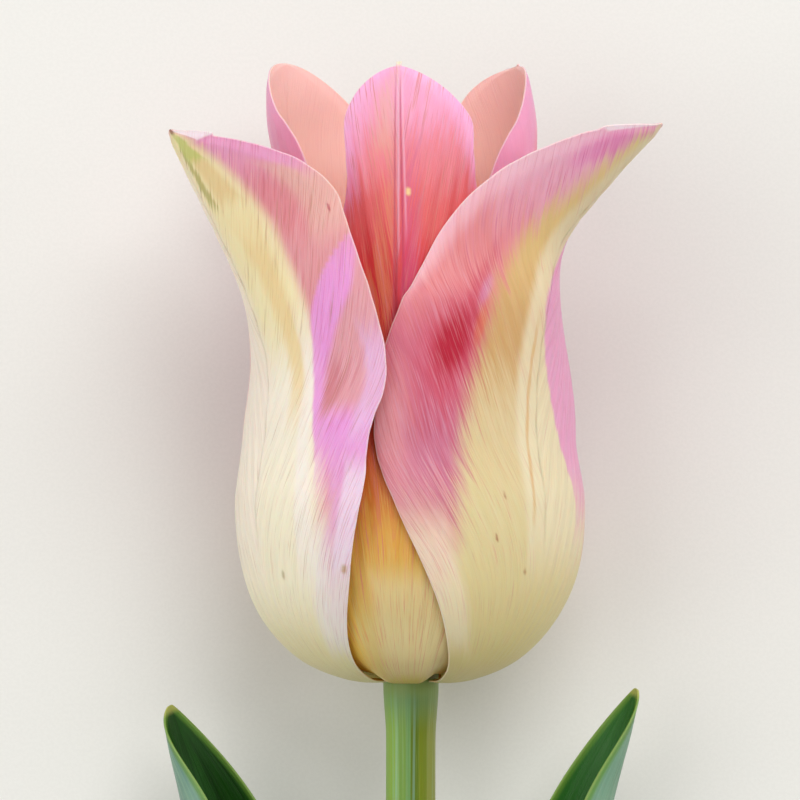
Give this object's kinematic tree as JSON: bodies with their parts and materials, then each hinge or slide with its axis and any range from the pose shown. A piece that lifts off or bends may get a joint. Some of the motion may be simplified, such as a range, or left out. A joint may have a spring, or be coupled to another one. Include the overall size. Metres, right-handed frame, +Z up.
{
  "type": "cut flower, lily-flowered tulip",
  "caption": "Cut lily-flowered tulip lying on its back: cream and pink tepals with pointed tips turned outward, stamens and pistil inside, a green stem and clasping leaves.",
  "frame": {"origin": "middle of the bounding box, on the surface that the flower lies on", "axes": "+Y runs along the flower to the tips of the bloom, +Z is up off the surface, +X is to the right as seen from above"},
  "size_m": [0.0675, 0.3418, 0.0536],
  "materials": {
    "outer_petal": "silky petal, cream with pink flanks",
    "inner_petal": "silky petal, pink to coral red",
    "green_stem": "smooth waxy plant stem",
    "green_leaf": "waxy leaf with fine veins",
    "pistil": "smooth, pale green",
    "filament": "smooth, pale cream",
    "anther": "dusty, dark brown"
  },
  "bodies": {
    "root": {"stem": "green_stem", "leaf_left": "green_leaf", "leaf_right": "green_leaf", "outer_tepal_left": "outer_petal", "outer_tepal_right": "outer_petal", "outer_tepal_back": "outer_petal", "inner_tepal_front": "inner_petal", "inner_tepal_left": "inner_petal", "inner_tepal_right": "inner_petal", "pistil": "pistil", "filament_1": "filament", "anther_1": "anther", "filament_2": "filament", "anther_2": "anther", "filament_3": "filament", "anther_3": "anther", "filament_4": "filament", "anther_4": "anther", "filament_5": "filament", "anther_5": "anther", "filament_6": "filament", "anther_6": "anther"}
  },
  "joints": []
}
